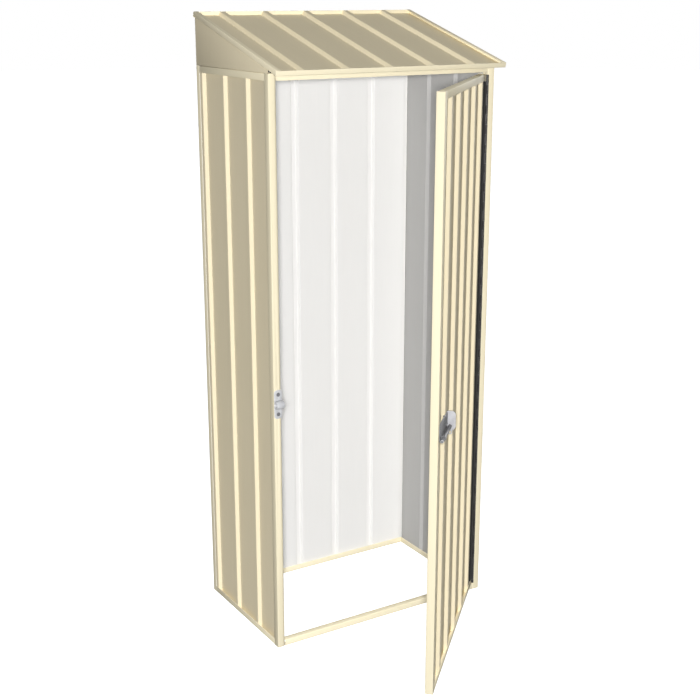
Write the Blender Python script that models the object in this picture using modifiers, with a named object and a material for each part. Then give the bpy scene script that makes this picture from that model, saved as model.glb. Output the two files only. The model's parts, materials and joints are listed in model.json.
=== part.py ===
"""Garden locker: a narrow steel outdoor cabinet with a lean-to roof and one ribbed door.

Metres, +Z up. The origin is the middle of the underside of the front threshold, the locker's
front faces -Y and +X is to the right of someone who looks at it. The door stands part open.
"""
import math

import bmesh
import bpy
from mathutils import Matrix, Vector

MM = 0.001

# Overall size
locker_width = 780 * MM
locker_depth = 465.5 * MM
wall_top = 1755 * MM
roof_pitch_angle = math.radians(15.93)
door_open_angle = math.radians(44.3)

# Metal and fits
frame_metal = 1.2 * MM
sheet_metal = 0.6 * MM
joint_gap = 0.3 * MM
fold_radius = 2 * MM
overrun = 5 * MM

# Frame sections
post_width = 25 * MM
post_depth = 24 * MM
rail_height = 20 * MM
rail_depth = 24 * MM
base_height = 20 * MM
base_depth = 23 * MM
threshold_height = 20 * MM
threshold_depth = 21 * MM
back_rail_depth = 22.1 * MM
gable_flange = 20 * MM
wall_tuck = 12 * MM

# Ribbed sheet
rib_pitch = 145.5 * MM
rib_height = 11 * MM
rib_crest = 16 * MM
rib_foot = 28 * MM
left_wall_first_rib = 134.5 * MM
right_wall_first_rib = 129 * MM
back_wall_first_rib = 27.9 * MM
door_first_rib = 60 * MM
door_rib_pitch = 134 * MM
roof_first_rib = 95.5 * MM

# Roof
roof_side_overhang = 3 * MM
roof_front_overhang = 48 * MM
roof_back_overhang = 2.5 * MM
roof_seat = 12.7 * MM
barge_flange = 15 * MM
trim_flange = 12 * MM

# Door
door_gap = 4.5 * MM
door_frame_depth = 24 * MM
door_frame_width = 25 * MM

# Seal in the hinge stile's mouth
seal_width = 10 * MM
seal_setback = 1 * MM

# Continuous hinge
knuckle_radius = 3 * MM
hinge_leaf_metal = 1.1 * MM
hinge_leaf_width = 20 * MM
hinge_pin_radius = 1.45 * MM
hinge_end_gap = 3 * MM
knuckle_count = 25
rolled_leaf_share = 0.78
hinge_rivet_count = 6
hinge_rivet_head_radius = 3 * MM
hinge_rivet_head_height = 1.2 * MM
hinge_rivet_shank_radius = 1.5 * MM
hinge_rivet_shank_length = 2.8 * MM

# Bolt and keeper
bolt_height = 801 * MM
bolt_stand_off = 9.8 * MM
bolt_radius = 5.25 * MM
bolt_clearance = 0.45 * MM
bolt_travel = 30 * MM
bolt_tip_setback = 1 * MM
fitting_metal = 2 * MM
bolt_plate_length = 123 * MM
bolt_plate_setback = 10 * MM
bolt_plate_rise = 45 * MM
bolt_plate_drop = 8.5 * MM
bolt_plate_corner = 10 * MM
bolt_ear_drop = 7.5 * MM
bolt_ear_reach = 25.5 * MM
bolt_ear_corner = 12 * MM
guide_wall = 1.4 * MM
guide_length = 9 * MM
guide_setback = 26 * MM
pull_metal = 4 * MM
eye_radius = 6 * MM
eye_drop = 18 * MM
padlock_hole_radius = 3.8 * MM
keeper_plate_width = 26 * MM
keeper_plate_height = 89 * MM
keeper_plate_corner = 8 * MM
keeper_loop_length = 25 * MM
keeper_loop_wall = 6 * MM
keeper_bore_radius = 6.2 * MM
keeper_screw_inset = 14 * MM
bolt_screw_inset = 9 * MM
bolt_screw_spacing = 87 * MM
screw_head_radius = 6 * MM
screw_head_height = 2 * MM
screw_shank_radius = 2.2 * MM
screw_shank_length = 9 * MM

# Worked out from the sizes above
left = -locker_width / 2
right = locker_width / 2
front = -threshold_depth / 2
back = front + locker_depth
sheet_inset = frame_metal + joint_gap + rib_height
pocket = frame_metal + joint_gap
door_bottom = threshold_height + door_gap
door_top = wall_top - rail_height - door_gap
hinge_x = right - post_width - joint_gap - knuckle_radius
hinge_y = front - joint_gap - knuckle_radius
door_hinge_edge = hinge_x - knuckle_radius - joint_gap
door_free_edge = left + post_width + door_gap
door_width = door_hinge_edge - door_free_edge
door_height = door_top - door_bottom
bolt_axis_y = front - bolt_stand_off
bolt_plate_end = door_free_edge + bolt_plate_setback + bolt_plate_length
bolt_tip = door_free_edge + bolt_tip_setback
bolt_length = bolt_plate_end + bolt_travel - bolt_tip
back_post_flange = base_depth - frame_metal - joint_gap
back_corner = back - back_post_flange
roof_front = front - roof_front_overhang
roof_front_height = wall_top + roof_seat - roof_front_overhang * math.tan(roof_pitch_angle)
roof_run = roof_front_overhang + locker_depth + roof_back_overhang
roof_length = roof_run / math.cos(roof_pitch_angle)

X = Vector((1, 0, 0))
Y = Vector((0, 1, 0))
Z = Vector((0, 0, 1))
UP_SLOPE = Vector((0, math.cos(roof_pitch_angle), math.sin(roof_pitch_angle)))
OFF_ROOF = Vector((0, -math.sin(roof_pitch_angle), math.cos(roof_pitch_angle)))

CREAM = (0.93, 0.87, 0.70, 1)
TAN = (0.72, 0.63, 0.45, 1)
ZINC = (0.55, 0.55, 0.57, 1)
DARK_ZINC = (0.10, 0.10, 0.11, 1)
DARK_FOAM = (0.03, 0.03, 0.03, 1)


def start_scene():
    """Empty the scene and return the collections for the parts and the cutters."""
    for item in list(bpy.data.objects):
        bpy.data.objects.remove(item, do_unlink=True)
    parts = bpy.data.collections.new("garden_locker")
    cutters = bpy.data.collections.new("cutters")
    bpy.context.scene.collection.children.link(parts)
    bpy.context.scene.collection.children.link(cutters)
    return parts, cutters


PARTS, CUTTERS = start_scene()


def make_material(name, colour, roughness, metallic):
    """A material of one plain colour for one sub-part."""
    material = bpy.data.materials.new(name)
    material.use_nodes = True
    shader = material.node_tree.nodes["Principled BSDF"]
    shader.inputs["Base Color"].default_value = colour
    shader.inputs["Roughness"].default_value = roughness
    shader.inputs["Metallic"].default_value = metallic
    return material


def painted(obj, colour):
    """Give the object a satin paint of its own."""
    obj.data.materials.append(make_material(obj.name + "_paint", colour, 0.45, 0.0))


def plated(obj, colour):
    """Give the object a plated steel finish of its own."""
    obj.data.materials.append(make_material(obj.name + "_plating", colour, 0.38, 0.9))


def make_empty(name, location):
    """An empty that carries moving pieces on its joint axis."""
    empty = bpy.data.objects.new(name, None)
    PARTS.objects.link(empty)
    empty.location = location
    return empty


def hang(obj, carrier):
    """Let the carrier move the object, which stays where it is until the carrier moves."""
    if carrier:
        bpy.context.view_layer.update()
        obj.parent = carrier
        obj.matrix_parent_inverse = carrier.matrix_world.inverted()


def add_object(name, mesh, collection):
    """Link a new object that holds the mesh."""
    obj = bpy.data.objects.new(name, mesh)
    collection.objects.link(obj)
    return obj


def place(obj, origin, u_axis, v_axis, carrier=None):
    """Turn the object's own X and Y to u_axis and v_axis, and hang it on its carrier."""
    w_axis = u_axis.cross(v_axis)
    turn = Matrix((u_axis, v_axis, w_axis)).transposed().to_4x4()
    obj.matrix_world = Matrix.Translation(origin) @ turn
    hang(obj, carrier)


def rounded(points, radius, steps=3):
    """The open line of points with each inner corner turned on an arc."""
    line = [Vector(points[0])]
    for before, corner, after in zip(points, points[1:], points[2:]):
        corner = Vector(corner)
        into = (Vector(before) - corner).normalized()
        out = (Vector(after) - corner).normalized()
        half = into.angle(out) / 2
        reach = radius / math.tan(half)
        centre = corner + (into + out).normalized() * radius / math.sin(half)
        first = corner + into * reach - centre
        last = corner + out * reach - centre
        for step in range(steps + 1):
            line.append(centre + first.slerp(last, step / steps).normalized() * radius)
    line.append(Vector(points[-1]))
    return line


def folded_sheet(name, line, length, metal):
    """A line in the object's XY plane, drawn along its Z, with the metal on the line's left."""
    mesh = bpy.data.meshes.new(name)
    shell = bmesh.new()
    verts = [shell.verts.new((point[0], point[1], 0)) for point in line]
    edges = [shell.edges.new(pair) for pair in zip(verts, verts[1:])]
    drawn = bmesh.ops.extrude_edge_only(shell, edges=edges)["geom"]
    moved = [item for item in drawn if isinstance(item, bmesh.types.BMVert)]
    bmesh.ops.translate(shell, verts=moved, vec=(0, 0, length))
    shell.normal_update()
    right_of_line = (verts[1].co - verts[0].co).cross(Z)
    if edges[0].link_faces[0].normal.dot(right_of_line) < 0:
        bmesh.ops.reverse_faces(shell, faces=shell.faces)
    shell.to_mesh(mesh)
    shell.free()
    obj = add_object(name, mesh, PARTS)
    solid = obj.modifiers.new("metal", "SOLIDIFY")
    solid.thickness = metal
    solid.offset = -1
    solid.use_even_offset = True
    return obj


def channel(name, origin, u_axis, v_axis, length, width, depth, carrier=None):
    """A folded channel whose web is width wide along u and whose sides reach depth along v."""
    corners = [(0, depth), (0, 0), (width, 0), (width, depth)]
    obj = folded_sheet(name, rounded(corners, fold_radius), length, frame_metal)
    place(obj, origin, u_axis, v_axis, carrier)
    painted(obj, CREAM)
    return obj


def angle_strip(name, corners, origin, u_axis, v_axis, length, colour=CREAM, metal=frame_metal):
    """A folded strip through the corners, with the metal on their left."""
    obj = folded_sheet(name, rounded(corners, fold_radius), length, metal)
    place(obj, origin, u_axis, v_axis)
    painted(obj, colour)
    return obj


def rib_line(span, first_rib, pitch):
    """The outer face of a ribbed sheet, from its far end back to its start."""
    def height(u, centre):
        flank = (rib_foot - rib_crest) / 2
        return rib_height * min(max((rib_foot / 2 - abs(u - centre)) / flank, 0), 1)

    line = []
    count = int((span - first_rib + rib_foot / 2) / pitch) + 1
    for index in range(count):
        centre = first_rib + index * pitch
        for offset in (-rib_foot / 2, -rib_crest / 2, rib_crest / 2, rib_foot / 2):
            if 0 < centre + offset < span:
                line.append((centre + offset, height(centre + offset, centre)))
    last = first_rib + (count - 1) * pitch
    line.insert(0, (0, height(0, first_rib)))
    line.append((span, height(span, last)))
    return line[::-1]


def ribbed_sheet(name, origin, u_axis, v_axis, length, span, first_rib, pitch=rib_pitch, carrier=None):
    """A sheet with trapezoid ribs that stand out along v."""
    obj = folded_sheet(name, rib_line(span, first_rib, pitch), length, sheet_metal)
    place(obj, origin, u_axis, v_axis, carrier)
    painted(obj, TAN)
    return obj


def outline_solid(name, outlines, thickness, collection=PARTS):
    """A flat plate from closed outlines in the object's XY plane, from Z 0 to its thickness."""
    curve = bpy.data.curves.new(name + "_outline", "CURVE")
    curve.dimensions = "2D"
    curve.fill_mode = "BOTH"
    curve.extrude = thickness / 2
    for outline in outlines:
        spline = curve.splines.new("POLY")
        spline.points.add(len(outline) - 1)
        for point, place_of in zip(spline.points, outline):
            point.co = (place_of[0], place_of[1], 0, 1)
        spline.use_cyclic_u = True
    flat = bpy.data.objects.new(name + "_flat", curve)
    PARTS.objects.link(flat)
    bpy.context.view_layer.update()
    mesh = bpy.data.meshes.new_from_object(flat.evaluated_get(bpy.context.evaluated_depsgraph_get()))
    bpy.data.objects.remove(flat, do_unlink=True)
    plate = bmesh.new()
    plate.from_mesh(mesh)
    bmesh.ops.remove_doubles(plate, verts=plate.verts, dist=joint_gap / 30)
    bmesh.ops.translate(plate, verts=plate.verts, vec=(0, 0, thickness / 2))
    bmesh.ops.recalc_face_normals(plate, faces=plate.faces)
    plate.to_mesh(mesh)
    plate.free()
    mesh.name = name
    return add_object(name, mesh, collection)


def arc(centre, radius, start, end, steps):
    """Points on an arc, with the angles in degrees."""
    angles = [math.radians(start + (end - start) * step / steps) for step in range(steps + 1)]
    return [(centre[0] + radius * math.cos(a), centre[1] + radius * math.sin(a)) for a in angles]


def circle(centre, radius, steps=20):
    """The points of a full circle."""
    return arc(centre, radius, 0, 360, steps)[:-1]


def rounded_plate(low, high, radii, steps=4):
    """A rectangle from low to high whose corners, from the low one on, have the given radii."""
    (x0, y0), (x1, y1) = low, high
    r0, r1, r2, r3 = radii
    points = arc((x0 + r0, y0 + r0), r0, 180, 270, steps)
    points += arc((x1 - r1, y0 + r1), r1, 270, 360, steps)
    points += arc((x1 - r2, y1 - r2), r2, 0, 90, steps)
    points += arc((x0 + r3, y1 - r3), r3, 90, 180, steps)
    return points


def box_mesh(name, boxes):
    """A mesh of separate boxes, each given by its low and high corners."""
    mesh = bpy.data.meshes.new(name)
    solid = bmesh.new()
    for low, high in boxes:
        low = Vector(low)
        high = Vector(high)
        cube = bmesh.ops.create_cube(solid, size=1)
        bmesh.ops.scale(solid, verts=cube["verts"], vec=high - low)
        bmesh.ops.translate(solid, verts=cube["verts"], vec=(low + high) / 2)
    solid.to_mesh(mesh)
    solid.free()
    return mesh


def pin_mesh(name, places, axis, radius, length):
    """A mesh of separate round pins that start at their places and run along the axis."""
    mesh = bpy.data.meshes.new(name)
    solid = bmesh.new()
    for start in places:
        middle = Vector(start) + axis * length / 2
        turn = Matrix.Translation(middle) @ Z.rotation_difference(axis).to_matrix().to_4x4()
        bmesh.ops.create_cone(solid, cap_ends=True, segments=16, radius1=radius, radius2=radius,
                              depth=length, matrix=turn)
    solid.to_mesh(mesh)
    solid.free()
    return mesh


def turned_mesh(name, profile, steps):
    """A round solid turned from a profile of radius and height, from the top down."""
    outline_mesh = bpy.data.meshes.new(name + "_profile")
    outline = bmesh.new()
    verts = [outline.verts.new((radius, 0, height)) for radius, height in profile]
    for pair in zip(verts, verts[1:]):
        outline.edges.new(pair)
    outline.to_mesh(outline_mesh)
    outline.free()
    lathe = add_object(name + "_turning", outline_mesh, PARTS)
    screw = lathe.modifiers.new("turn", "SCREW")
    screw.steps = steps
    screw.render_steps = steps
    screw.use_merge_vertices = True
    screw.merge_threshold = joint_gap / 30
    bpy.context.view_layer.update()
    mesh = bpy.data.meshes.new_from_object(lathe.evaluated_get(bpy.context.evaluated_depsgraph_get()))
    bpy.data.objects.remove(lathe, do_unlink=True)
    mesh.name = name
    mesh.shade_smooth()
    mesh.set_sharp_from_angle(angle=math.radians(35))
    return mesh


def turned_piece(name, profile, origin, axis, carrier=None, steps=16):
    """A zinc plated round piece whose own Z runs along the axis from the origin."""
    obj = add_object(name, turned_mesh(name, profile, steps), PARTS)
    turn = Z.rotation_difference(axis).to_matrix().to_4x4()
    obj.matrix_world = Matrix.Translation(origin) @ turn
    hang(obj, carrier)
    plated(obj, ZINC)


def cutter(name, mesh, carrier=None):
    """A hidden object that cuts holes and notches."""
    obj = add_object(name, mesh, CUTTERS)
    obj.hide_render = True
    obj.display_type = "WIRE"
    hang(obj, carrier)
    return obj


def cut(obj, tool):
    """Take the tool's volume out of the object."""
    change = obj.modifiers.new("cut_" + tool.name, "BOOLEAN")
    change.operation = "DIFFERENCE"
    change.solver = "EXACT"
    change.object = tool


def on_roof(x, along, off=0.0):
    """A place on the roof: along is measured up the slope from the sheet's front edge."""
    return Vector((x, roof_front, roof_front_height)) + UP_SLOPE * along + OFF_ROOF * off


def roof_height(y, off=0.0):
    """The height over y of the plane that lies off above the roof sheet's outer face."""
    slope = math.tan(roof_pitch_angle)
    return roof_front_height + (y - roof_front) * slope + off / math.cos(roof_pitch_angle)


def make_base():
    """The open base: a threshold, and three channels that hold the feet of the walls."""
    inner_left = left + post_width + joint_gap
    channel("front_threshold", (inner_left, front, threshold_height), -Z, Y,
            locker_width - 2 * (post_width + joint_gap), threshold_height, threshold_depth)
    side_length = locker_depth - post_depth - joint_gap - base_depth + frame_metal
    side_start = front + post_depth + joint_gap
    channel("base_channel_left", (left + base_depth, side_start, 0), -X, Z,
            side_length, base_depth, base_height)
    channel("base_channel_right", (right, side_start, 0), -X, Z,
            side_length, base_depth, base_height)
    channel("base_channel_back", (left + base_depth + joint_gap, back - base_depth, 0), Y, Z,
            locker_width - 2 * (base_depth + joint_gap), base_depth, base_height)


def side_boxes(low, high):
    """A box given from the left side inwards, and its mirror image on the right."""
    return [(low, high), ((-high[0], low[1], low[2]), (-low[0], high[1], high[2]))]


def make_posts(roof_cutter):
    """Two folded front posts, and two corner angles at the back that reach the roof.

    Over the side rails the angles lose their side flange, because the gables cover it there.
    """
    channel("front_left_post", (left, front, 0), X, Y, wall_top, post_width, post_depth)
    channel("front_right_post", (right - post_width, front, 0), X, Y, wall_top, post_width, post_depth)
    tall = roof_height(back)
    flange = back_post_flange
    turned = base_depth
    left_corners = [(turned, 0), (0, 0), (0, -flange)]
    right_corners = [(0, -flange), (0, 0), (-turned, 0)]
    seats = cutter("gable_seats", box_mesh("gable_seats", side_boxes(
        (left - overrun, back - flange - overrun, wall_top),
        (left + pocket, back - fold_radius, tall + overrun))))
    for name, corners, x in (("back_left_post", left_corners, left),
                             ("back_right_post", right_corners, right)):
        post = angle_strip(name, corners, (x, back, 0), X, Y, tall)
        cut(post, roof_cutter)
        cut(post, seats)


def make_rails():
    """The rails that hold the heads of the walls, and the header over the doorway."""
    side_start = front + post_depth + joint_gap
    side_length = back_corner - joint_gap - side_start
    channel("side_rail_left", (left, side_start, wall_top), X, -Z, side_length, rail_depth, rail_height)
    channel("side_rail_right", (right - rail_depth, side_start, wall_top), X, -Z,
            side_length, rail_depth, rail_height)
    channel("header_rail", (left + post_width + joint_gap, front + rail_depth, wall_top), -Y, -Z,
            locker_width - 2 * (post_width + joint_gap), rail_depth, rail_height)
    channel("back_top_rail", (left + base_depth + joint_gap, back, back_rail_top()), -Y, -Z,
            locker_width - 2 * (base_depth + joint_gap), back_rail_depth, rail_height)


def back_rail_top():
    """The back rail's top, close under the roof sheet at the rail's front edge."""
    return roof_height(back - back_rail_depth, -sheet_metal - joint_gap)


def make_walls():
    """The three ribbed walls, whose edges stand inside the posts, channels and rails."""
    low = pocket
    high = wall_top - pocket
    side_start = front + post_depth - wall_tuck
    side_end = back - sheet_inset - sheet_metal - joint_gap
    ribbed_sheet("left_wall_sheet", (left + sheet_inset, side_start, low), Y, -X,
                 high - low, side_end - side_start, left_wall_first_rib)
    ribbed_sheet("right_wall_sheet", (right - sheet_inset, side_end, low), -Y, X,
                 high - low, side_end - side_start, right_wall_first_rib)
    back_start = left + sheet_inset + sheet_metal + joint_gap
    ribbed_sheet("back_wall_sheet", (back_start, back - sheet_inset, low), X, Y,
                 back_rail_top() - pocket - low, -2 * back_start, back_wall_first_rib)


def make_gables(roof_cutters):
    """The flat infill over each side rail, with a foot that is turned in on the rail and ends with it."""
    foot = wall_top + joint_gap
    tall = roof_height(back) - foot
    left_corners = [(-gable_flange, 0), (0, 0), (0, tall)]
    right_corners = [(0, tall), (0, 0), (gable_flange, 0)]
    notches = cutter("gable_foot_notches", box_mesh("gable_foot_notches", side_boxes(
        (left + fold_radius, back_corner - joint_gap, wall_top),
        (left + gable_flange + overrun, back, wall_top + overrun))))
    for name, corners, x in (("gable_infill_left", left_corners, left),
                             ("gable_infill_right", right_corners, right)):
        infill = angle_strip(name, corners, (x, front, foot), -X, Z,
                             back - fold_radius - joint_gap - front, TAN, sheet_metal)
        for tool in [*roof_cutters, notches]:
            cut(infill, tool)


def roof_cutter(name, off, start=-overrun):
    """Everything above the plane that lies off above the roof sheet's outer face, from start on."""
    low = (left - overrun, start, off)
    high = (right + overrun, roof_length + overrun, wall_top)
    obj = cutter(name, box_mesh(name, [(low, high)]))
    place(obj, on_roof(0, 0), X, UP_SLOPE)
    return obj


def make_roof():
    """The ribbed roof sheet, with a folded capping on each side and a trim at each end."""
    under = sheet_metal + joint_gap + frame_metal
    over = rib_height + joint_gap
    ribbed_sheet("roof_sheet", on_roof(left - roof_side_overhang + pocket, roof_length), X, OFF_ROOF,
                 roof_length, locker_width + 2 * (roof_side_overhang - pocket), roof_first_rib)
    channel("roof_barge_left", on_roof(left - roof_side_overhang, 0, -under), OFF_ROOF, X,
            roof_length, under + over + frame_metal, barge_flange)
    channel("roof_barge_right", on_roof(right + roof_side_overhang, 0, over + frame_metal), -OFF_ROOF, -X,
            roof_length, under + over + frame_metal, barge_flange)
    foot = -under - joint_gap - frame_metal
    front_corners = [(-pocket, over), (-pocket, foot), (trim_flange - pocket, foot)]
    end = roof_length + pocket
    back_corners = [(end - trim_flange, foot), (end, foot), (end, over)]
    for name, corners in (("roof_front_trim", front_corners), ("roof_back_trim", back_corners)):
        angle_strip(name, corners, on_roof(left - roof_side_overhang, 0), UP_SLOPE, OFF_ROOF,
                    locker_width + 2 * roof_side_overhang)


def make_door(pivot):
    """The door leaf: a ribbed sheet in a frame of four folded channels, made closed."""
    channel("door_hinge_stile", (door_hinge_edge, front, door_bottom), Y, -X,
            door_height, door_frame_depth, door_frame_width, pivot)
    channel("door_free_stile", (door_free_edge, front + door_frame_depth, door_bottom), -Y, X,
            door_height, door_frame_depth, door_frame_width, pivot)
    rail_start = door_free_edge + door_frame_width + joint_gap
    rail_length = door_width - 2 * (door_frame_width + joint_gap)
    channel("door_top_rail", (rail_start, front + door_frame_depth, door_top), -Y, -Z,
            rail_length, door_frame_depth, rail_height, pivot)
    channel("door_bottom_rail", (rail_start, front, door_bottom), Y, Z,
            rail_length, door_frame_depth, rail_height, pivot)
    ribbed_sheet("door_sheet", (door_hinge_edge - pocket, front + sheet_inset, door_bottom + pocket),
                 -X, -Y, door_height - 2 * pocket, door_width - 2 * pocket,
                 door_first_rib, door_rib_pitch, pivot)


def make_seal(pivot):
    """A strip of foam that fills the hinge stile's mouth, between its outer side and the sheet."""
    start = door_hinge_edge - door_frame_width + seal_setback
    strip = box_mesh("door_edge_seal", [((start, front + pocket, door_bottom + pocket),
                                         (start + seal_width, front + sheet_inset - joint_gap,
                                          door_top - pocket))])
    seal = add_object("door_edge_seal", strip, PARTS)
    hang(seal, pivot)
    strip.materials.append(make_material("door_edge_seal_foam", DARK_FOAM, 0.9, 0.0))


def make_hinge(pivot):
    """A continuous hinge: two leaves with knuckles rolled round one long pin."""
    start = door_bottom + hinge_end_gap
    length = door_height - 2 * hinge_end_gap
    rolled = 360 * rolled_leaf_share
    steps = 14
    frame_line = arc((0, 0), knuckle_radius, 360 - rolled, 360, steps)
    frame_line.append((knuckle_radius, hinge_leaf_width))
    door_line = [(-knuckle_radius, hinge_leaf_width)]
    door_line += arc((0, 0), knuckle_radius, 180, 180 + rolled, steps)
    pitch = length / knuckle_count
    reach = knuckle_radius + joint_gap
    for name, line, first, carrier in (("hinge_leaf_frame", frame_line, 1, None),
                                       ("hinge_leaf_door", door_line, 0, pivot)):
        leaf = folded_sheet(name, line, length, hinge_leaf_metal)
        place(leaf, (hinge_x, hinge_y, start), X, Y, carrier)
        plated(leaf, DARK_ZINC)
        gaps = []
        for index in range(first, knuckle_count, 2):
            low = start + index * pitch - joint_gap / 2
            high = start + (index + 1) * pitch + joint_gap / 2
            gaps.append(((hinge_x - reach, hinge_y - reach, low), (hinge_x + reach, hinge_y + reach, high)))
        cut(leaf, cutter(name + "_gaps", box_mesh(name + "_gaps", gaps), carrier))
    pin = add_object("hinge_pin", pin_mesh("hinge_pin", [(hinge_x, hinge_y, start)], Z,
                                           hinge_pin_radius, length), PARTS)
    pin.data.shade_smooth()
    pin.data.set_sharp_from_angle(angle=math.radians(35))
    plated(pin, ZINC)


def headed_profile(head_radius, head_height, shank_radius, shank_length):
    """Radius and height along a low round head and its shank, from the top down."""
    crown_share = 0.6
    return [(0, head_height), (head_radius * crown_share, head_height), (head_radius, head_height / 2),
            (head_radius, 0), (shank_radius, 0), (shank_radius, -shank_length), (0, -shank_length)]


def fasteners(name, profile, places, axis, carrier, drilled):
    """Like fasteners with their heads along the axis, and their holes through what they hold."""
    for number, spot in enumerate(places, 1):
        turned_piece(f"{name}_{number}", profile, spot, axis, carrier)
    shank_radius, shank_end = profile[-2]
    drill = pin_mesh(name + "_holes", places, -axis, shank_radius + joint_gap, overrun - shank_end)
    tool = cutter(name + "_holes", drill, carrier)
    for node in drilled:
        cut(bpy.data.objects[node], tool)


def make_hinge_rivets(pivot):
    """Two rows of rivets that hold the hinge leaves to the post and to the door."""
    profile = headed_profile(hinge_rivet_head_radius, hinge_rivet_head_height,
                             hinge_rivet_shank_radius, hinge_rivet_shank_length)
    row_y = hinge_y + (hinge_leaf_width + knuckle_radius) / 2
    pitch = door_height / hinge_rivet_count
    seat = knuckle_radius - hinge_leaf_metal - joint_gap
    for name, side, carrier, drilled in (
            ("frame_hinge_rivet", 1, None, ("hinge_leaf_frame", "front_right_post")),
            ("door_hinge_rivet", -1, pivot, ("hinge_leaf_door", "door_hinge_stile"))):
        places = []
        for index in range(hinge_rivet_count):
            height = door_bottom + pitch / 2 + index * pitch
            places.append(Vector((hinge_x + side * seat, row_y, height)))
        fasteners(name, profile, places, -side * X, carrier, drilled)


def fitting(name, outlines, thickness, origin, u_axis, v_axis, carrier=None):
    """A flat zinc plated piece cut to the outlines."""
    obj = outline_solid(name, outlines, thickness)
    place(obj, origin, u_axis, v_axis, carrier)
    plated(obj, ZINC)
    return obj


def saddle_outlines(outer_radius, bore_radius):
    """A round loop with a flat foot, in distances out from the face that it sits on."""
    foot = fitting_metal + 2 * joint_gap
    outer = [(foot, -outer_radius)]
    outer += arc((bolt_stand_off, 0), outer_radius, -90, 90, 12)
    outer.append((foot, outer_radius))
    return [outer, circle((bolt_stand_off, 0), bore_radius)]


def screw_profile():
    """Radius and height along a pan head screw."""
    return headed_profile(screw_head_radius, screw_head_height, screw_shank_radius, screw_shank_length)


def make_keeper():
    """The keeper on the left post: a plate, the loop that takes the bolt, and two screws."""
    middle = left + keeper_plate_width / 2
    half = (keeper_plate_width / 2, keeper_plate_height / 2)
    outline = rounded_plate((-half[0], -half[1]), half, [keeper_plate_corner] * 4, 2)
    fitting("keeper_plate", [outline], fitting_metal, (middle, front - joint_gap, bolt_height), X, Z)
    loop = saddle_outlines(keeper_bore_radius + keeper_loop_wall, keeper_bore_radius)
    fitting("keeper_loop", loop, keeper_loop_length,
            (middle + keeper_loop_length / 2, front, bolt_height), -Y, Z)
    face = front - fitting_metal - 2 * joint_gap
    reach = keeper_plate_height / 2 - keeper_screw_inset
    places = [Vector((middle, face, bolt_height + side * reach)) for side in (-1, 1)]
    fasteners("keeper_screw", screw_profile(), places, -Y, None, ("keeper_plate", "front_left_post"))


def eye_outline():
    """The round end of a padlock eye, and the eye itself, below the bolt's axis."""
    centre = (bolt_stand_off, -eye_drop)
    return arc(centre, eye_radius, 180, 360, 10), circle(centre, padlock_hole_radius, 16)


def make_bolt_ear(pivot):
    """The ear turned out at the plate's end: the bolt runs through it, over a padlock eye."""
    foot = fitting_metal + 2 * joint_gap
    low_corner = bolt_ear_corner / 2
    lobe, eye = eye_outline()
    outline = [(foot, -bolt_ear_drop), (bolt_stand_off - eye_radius, -bolt_ear_drop)]
    outline += lobe
    outline.append((bolt_stand_off + eye_radius, -bolt_ear_drop))
    outline += arc((bolt_ear_reach - low_corner, low_corner - bolt_ear_drop), low_corner, 270, 360, 4)
    corner_centre = (bolt_ear_reach - bolt_ear_corner, bolt_plate_rise - bolt_ear_corner)
    outline += arc(corner_centre, bolt_ear_corner, 0, 90, 8)
    outline.append((foot, bolt_plate_rise))
    bore = circle((bolt_stand_off, 0), bolt_radius + bolt_clearance)
    fitting("bolt_ear", [outline, bore, eye], fitting_metal,
            (bolt_plate_end, front, bolt_height), -Y, Z, pivot)


def make_bolt_fixings(pivot):
    """The bolt's plate on the door, the guide near the door's edge, and the plate's screws."""
    plate_start = door_free_edge + bolt_plate_setback
    corner = bolt_plate_corner
    outline = rounded_plate((0, -bolt_plate_drop), (bolt_plate_length, bolt_plate_rise),
                            [corner, corner / 5, corner / 5, corner])
    fitting("bolt_plate", [outline], fitting_metal,
            (plate_start, front - joint_gap, bolt_height), X, Z, pivot)
    bore = bolt_radius + bolt_clearance
    fitting("bolt_guide", saddle_outlines(bore + guide_wall, bore), guide_length,
            (door_free_edge + guide_setback + guide_length, front, bolt_height), -Y, Z, pivot)
    face = front - fitting_metal - 2 * joint_gap
    first_x = plate_start + bolt_screw_inset
    low_row = bore + guide_wall + screw_head_radius + 2 * joint_gap
    places = []
    for x in (first_x, first_x + bolt_screw_spacing):
        for z in (low_row, bolt_plate_rise - screw_edge()):
            places.append(Vector((x, face, bolt_height + z)))
    fasteners("bolt_screw", screw_profile(), places, -Y, pivot,
              ("bolt_plate", "door_free_stile", "door_sheet"))


def screw_edge():
    """The distance from a plate's edge to the middle of a screw."""
    return screw_head_radius + fitting_metal


def make_bolt(carrier):
    """The sliding bolt: a round bar and the pull at its end, which has an eye for a padlock."""
    chamfer = bolt_radius / 4
    profile = [(0, bolt_length), (bolt_radius, bolt_length), (bolt_radius, chamfer),
               (bolt_radius - chamfer, 0), (0, 0)]
    turned_piece("bolt_bar", profile, Vector((bolt_tip, bolt_axis_y, bolt_height)), X, carrier, 20)
    lobe, eye = eye_outline()
    outline = arc((bolt_stand_off, 0), eye_radius, 0, 180, 10) + lobe
    end = bolt_tip + bolt_length + joint_gap + pull_metal
    fitting("bolt_pull", [outline, eye], pull_metal, (end, front, bolt_height), -Y, Z, carrier)


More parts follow.
